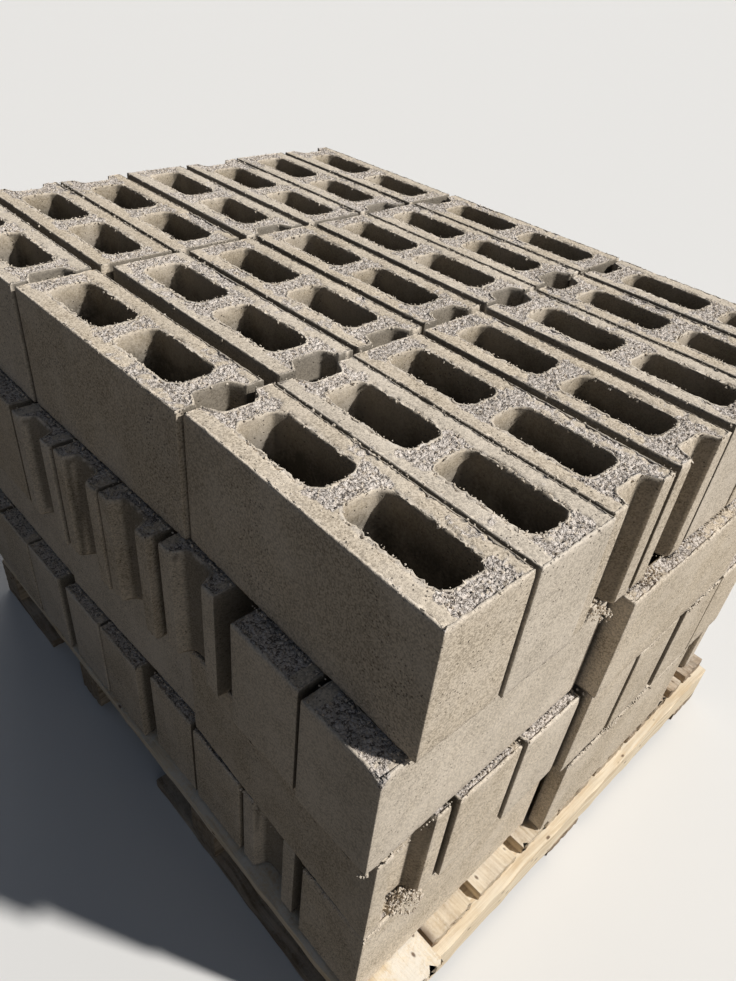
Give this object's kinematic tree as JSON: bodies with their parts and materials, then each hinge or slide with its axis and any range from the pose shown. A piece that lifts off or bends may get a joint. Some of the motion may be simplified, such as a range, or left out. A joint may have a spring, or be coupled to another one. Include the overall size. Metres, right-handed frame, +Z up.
{
  "type": "pallet of concrete blocks",
  "caption": "wooden pallet loaded with hollow concrete blocks, dry-laid in courses that cross, with open cores and grooved ends, for lifting by fork",
  "frame": {"origin": "middle of the footprint, at the level of the ground under the pallet", "axes": "X along the side on the right in the picture, Y along the side on the left, away from the near corner, Z up; the near corner is at low X and low Y"},
  "size_m": [1.022, 1.235, 0.872],
  "materials": {
    "concrete": "moulded dry-mix concrete, sandy and fine-pored on the sides, coarse and open on the webs, dusty, unpainted",
    "pallet_wood": "rough sawn softwood, partly fresh and cream, partly weathered grey-brown, splintered ends"
  },
  "bodies": {
    "root": {"pallet_deck_boards": "pallet_wood", "pallet_stringers": "pallet_wood", "pallet_bottom_boards": "pallet_wood", "course_1_left_blocks": "concrete", "course_1_middle_blocks": "concrete", "course_1_end_blocks": "concrete", "course_3_left_blocks": "concrete", "course_3_middle_blocks": "concrete", "course_3_end_blocks": "concrete", "course_2_row_1": "concrete", "course_2_row_2": "concrete", "course_2_row_3": "concrete", "course_4_column_1": "concrete", "course_4_column_2": "concrete", "course_4_column_3": "concrete", "course_4_column_4": "concrete", "course_4_column_5": "concrete", "course_4_column_6": "concrete", "course_4_column_7": "concrete"}
  },
  "joints": []
}
